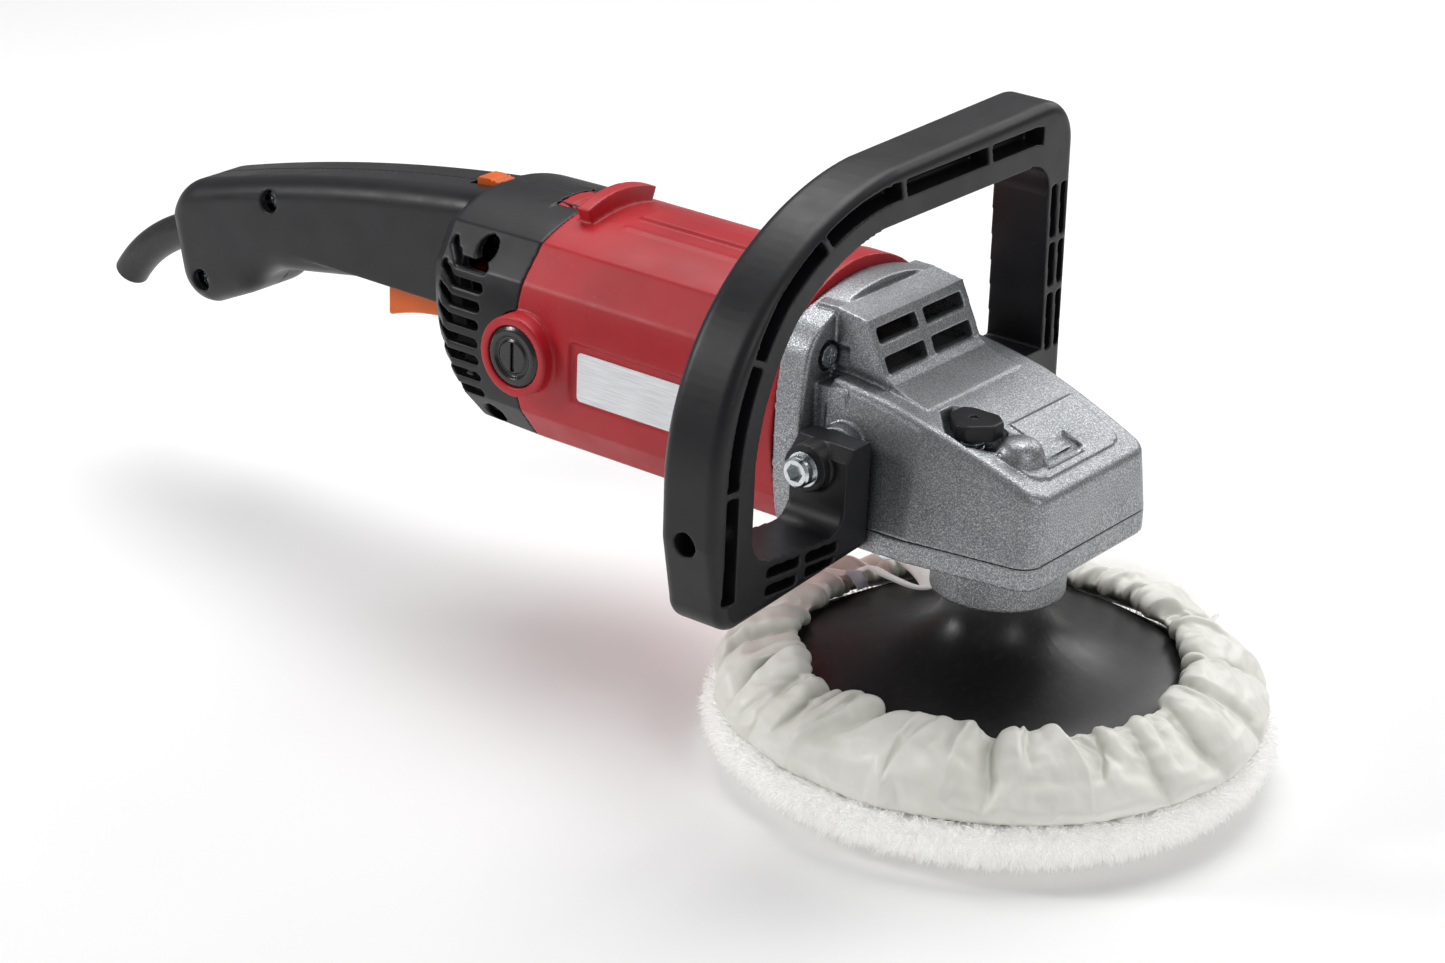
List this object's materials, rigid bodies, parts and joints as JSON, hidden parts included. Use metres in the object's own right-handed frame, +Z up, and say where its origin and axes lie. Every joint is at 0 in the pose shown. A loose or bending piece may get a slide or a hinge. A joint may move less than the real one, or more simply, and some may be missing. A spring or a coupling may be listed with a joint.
{
  "type": "rotary polisher",
  "caption": "Corded rotary polisher with a loop handle, a rear switch handle, bevel and spur gearing and a tie-on wool bonnet over a rubber backing pad.",
  "frame": {"origin": "centre of the bonnet's working face, on the spindle axis", "axes": "+Z up the spindle axis away from the work, +X forward from the rear handle towards the gear housing's nose, +Y to the left of someone holding the tool"},
  "size_m": [0.5247, 0.2282, 0.2142],
  "materials": {
    "cast_aluminium": "as-cast, finely speckled, satin",
    "red_plastic": "fine spark-eroded texture",
    "black_plastic": "fine spark-eroded texture",
    "orange_plastic": "fine texture",
    "black_gloss_plastic": "smooth moulded",
    "rubber": "satin moulded rubber",
    "zinc_steel": "zinc plated",
    "ground_steel": "ground",
    "gear_steel": "cut and hardened",
    "copper": "enamelled wire and drawn bar",
    "brass": "pressed sheet",
    "lamination_steel": "stacked laminations",
    "carbon": "pressed carbon",
    "label_foil": "satin foil label, blank",
    "bonnet_satin": "satin woven",
    "bonnet_wool": "cut wool pile"
  },
  "bodies": {
    "root": {"gear_housing": "cast_aluminium", "gear_cover": "cast_aluminium", "cover_screws": "zinc_steel", "housing_screws": "zinc_steel", "spindle_lower_bearing": "ground_steel", "spindle_upper_bearing": "ground_steel", "layshaft_lower_bearing": "ground_steel", "layshaft_upper_bearing": "ground_steel", "front_armature_bearing": "ground_steel", "rear_armature_bearing": "ground_steel", "rear_bearing_sleeve": "rubber", "bearing_retainer": "zinc_steel", "retainer_screws": "zinc_steel", "stator_core": "lamination_steel", "stator_windings": "copper", "stator_screws": "zinc_steel", "motor_housing": "red_plastic", "label_plates": "label_foil", "air_baffle": "black_plastic", "brush_holders": "brass", "carbon_brushes": "carbon", "brush_springs": "ground_steel", "brush_caps": "black_gloss_plastic", "lock_spring": "ground_steel", "rear_handle_right": "black_plastic", "rear_handle_left": "black_plastic", "handle_screws": "zinc_steel", "trigger_pin": "ground_steel", "switch_body": "black_gloss_plastic", "speed_module": "black_gloss_plastic", "capacitor": "orange_plastic", "terminal_block": "black_gloss_plastic", "cord": "rubber", "cord_boot": "rubber", "cord_clamp": "black_plastic", "clamp_screws": "zinc_steel", "side_handle": "black_plastic", "handle_washers": "zinc_steel", "handle_bolts": "zinc_steel"},
    "spindle_set": {"spindle": "ground_steel", "spindle_key": "ground_steel", "spindle_gear": "gear_steel", "spindle_circlip": "gear_steel", "backing_pad": "rubber", "pad_hub": "zinc_steel", "bonnet_cover": "bonnet_satin", "bonnet_wool": "bonnet_wool", "bonnet_drawstring": "bonnet_satin"},
    "layshaft_set": {"layshaft": "gear_steel", "crown_gear": "gear_steel"},
    "armature_set": {"armature_shaft": "ground_steel", "bevel_pinion": "gear_steel", "armature_core": "lamination_steel", "armature_windings": "copper", "commutator": "copper", "fan": "black_plastic"},
    "lock_set": {"lock_button": "black_plastic", "lock_pin": "ground_steel"},
    "trigger_set": {"trigger": "orange_plastic"},
    "slide_set": {"lock_on_slide": "orange_plastic"}
  },
  "joints": [
    {"name": "spindle_spin", "type": "hinge", "parent": "root", "child": "spindle_set", "pos_m": [0, 0, 0.08], "axis": [0, 0, 1], "continuous": true},
    {"name": "layshaft_spin", "type": "hinge", "parent": "root", "child": "layshaft_set", "pos_m": [-0.03375, 0, 0.1], "axis": [0, 0, 1], "continuous": true},
    {"name": "armature_spin", "type": "hinge", "parent": "root", "child": "armature_set", "pos_m": [-0.1, 0, 0.113], "axis": [1, 0, 0], "continuous": true},
    {"name": "lock_press", "type": "slide", "parent": "root", "child": "lock_set", "axis": [0, 0, -1], "range_m": [0, 0.0045], "stiffness_N_per_m": 500, "springref_m": -0.002, "deforming": ["lock_spring"]},
    {"name": "trigger_press", "type": "hinge", "parent": "root", "child": "trigger_set", "pos_m": [-0.238, 0, 0.114], "axis": [0, 1, 0], "range_deg": [0, 9]},
    {"name": "lock_on_press", "type": "slide", "parent": "root", "child": "slide_set", "axis": [-1, 0, 0], "range_m": [0, 0.004]}
  ],
  "couplings": [
    {"joint": "layshaft_spin", "follows": "spindle_spin", "ratio": -4.4},
    {"joint": "armature_spin", "follows": "spindle_spin", "ratio": 8.8}
  ]
}
